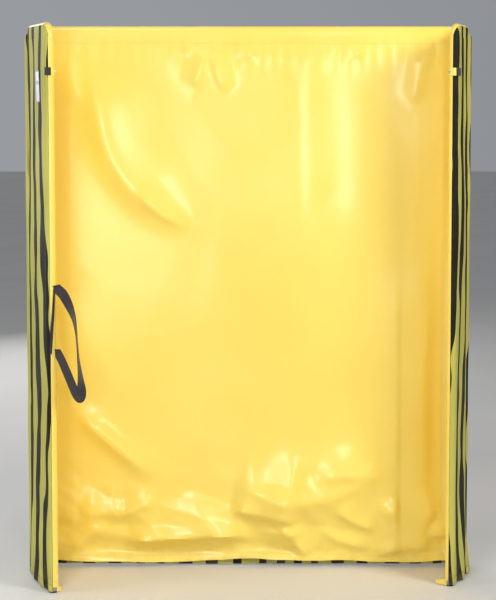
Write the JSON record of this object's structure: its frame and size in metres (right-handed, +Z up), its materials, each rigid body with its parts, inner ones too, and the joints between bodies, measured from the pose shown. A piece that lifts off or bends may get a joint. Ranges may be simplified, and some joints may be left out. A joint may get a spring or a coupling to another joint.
{
  "type": "welding curtain screen",
  "caption": "Folding welding screen: a wide tube-framed back panel with a short hinged wing at each side, yellow vinyl inside, wavy black and yellow striped fabric outside, webbing handle",
  "frame": {"origin": "on the floor, under the middle of the box round the screen as it stands open", "axes": "+Z up; +X to the right of someone who looks into the open side; the open side faces -Y and the back panel stands at +Y"},
  "size_m": [1.473, 0.3798, 1.829],
  "materials": {
    "steel_tube": "zinc-plated round tube, satin",
    "nylon_fitting": "black moulded nylon",
    "rubber_foot": "black moulded rubber",
    "zinc_screw": "bright zinc plate",
    "yellow_vinyl": "glossy coated vinyl sheet, creased",
    "striped_cover": "woven coated fabric in wavy black and yellow stripes",
    "black_webbing": "ribbed black webbing",
    "blank_label": "blank pale vinyl patch",
    "nickel_snap": "nickel-plated"
  },
  "bodies": {
    "back_panel": {"back_inner_curtain": "yellow_vinyl", "back_lower_rail": "steel_tube", "back_outer_cover": "striped_cover", "back_top_rail": "steel_tube", "left_corner_foot": "rubber_foot", "left_corner_post": "steel_tube", "left_lower_hinge_bracket": "nylon_fitting", "left_lower_hinge_bracket_screw": "zinc_screw", "left_lower_saddle": "nylon_fitting", "left_lower_screw": "zinc_screw", "left_top_elbow": "nylon_fitting", "left_upper_hinge_bracket": "nylon_fitting", "left_upper_hinge_bracket_screw": "zinc_screw", "right_corner_foot": "rubber_foot", "right_corner_post": "steel_tube", "right_lower_hinge_bracket": "nylon_fitting", "right_lower_hinge_bracket_screw": "zinc_screw", "right_lower_saddle": "nylon_fitting", "right_lower_screw": "zinc_screw", "right_top_elbow": "nylon_fitting", "right_upper_hinge_bracket": "nylon_fitting", "right_upper_hinge_bracket_screw": "zinc_screw"},
    "left_wing": {"left_wing_closure_snap": "nickel_snap", "left_wing_closure_strap": "black_webbing", "left_wing_front_elbow": "nylon_fitting", "left_wing_front_foot": "rubber_foot", "left_wing_front_post": "steel_tube", "left_wing_front_saddle": "nylon_fitting", "left_wing_front_screw": "zinc_screw", "left_wing_hinge_elbow": "nylon_fitting", "left_wing_hinge_foot": "rubber_foot", "left_wing_hinge_post": "steel_tube", "left_wing_hinge_saddle": "nylon_fitting", "left_wing_hinge_screw": "zinc_screw", "left_wing_inner_curtain": "yellow_vinyl", "left_wing_lower_rail": "steel_tube", "left_wing_outer_cover": "striped_cover", "left_wing_stop_collar": "nylon_fitting", "left_wing_top_rail": "steel_tube", "handle_backing_strip": "black_webbing", "blank_label": "blank_label"},
    "right_wing": {"right_wing_closure_snap": "nickel_snap", "right_wing_closure_strap": "black_webbing", "right_wing_front_elbow": "nylon_fitting", "right_wing_front_foot": "rubber_foot", "right_wing_front_post": "steel_tube", "right_wing_front_saddle": "nylon_fitting", "right_wing_front_screw": "zinc_screw", "right_wing_hinge_elbow": "nylon_fitting", "right_wing_hinge_foot": "rubber_foot", "right_wing_hinge_post": "steel_tube", "right_wing_hinge_saddle": "nylon_fitting", "right_wing_hinge_screw": "zinc_screw", "right_wing_inner_curtain": "yellow_vinyl", "right_wing_lower_rail": "steel_tube", "right_wing_outer_cover": "striped_cover", "right_wing_stop_collar": "nylon_fitting", "right_wing_top_rail": "steel_tube"},
    "handle": {"carry_handle": "black_webbing"}
  },
  "joints": [
    {"name": "left_wing_hinge", "type": "hinge", "parent": "back_panel", "child": "left_wing", "pos_m": [-0.72, 0.1414, 0.9], "axis": [0, 0, -1], "range_deg": [-58, 109]},
    {"name": "right_wing_hinge", "type": "hinge", "parent": "back_panel", "child": "right_wing", "pos_m": [0.72, 0.1414, 0.9], "axis": [0, 0, 1], "range_deg": [-67, 107]},
    {"name": "handle_swing", "type": "hinge", "parent": "left_wing", "child": "handle", "pos_m": [-0.62696, -0.11843, 0.88], "axis": [0, 0, -1], "range_deg": [0, 130]}
  ]
}
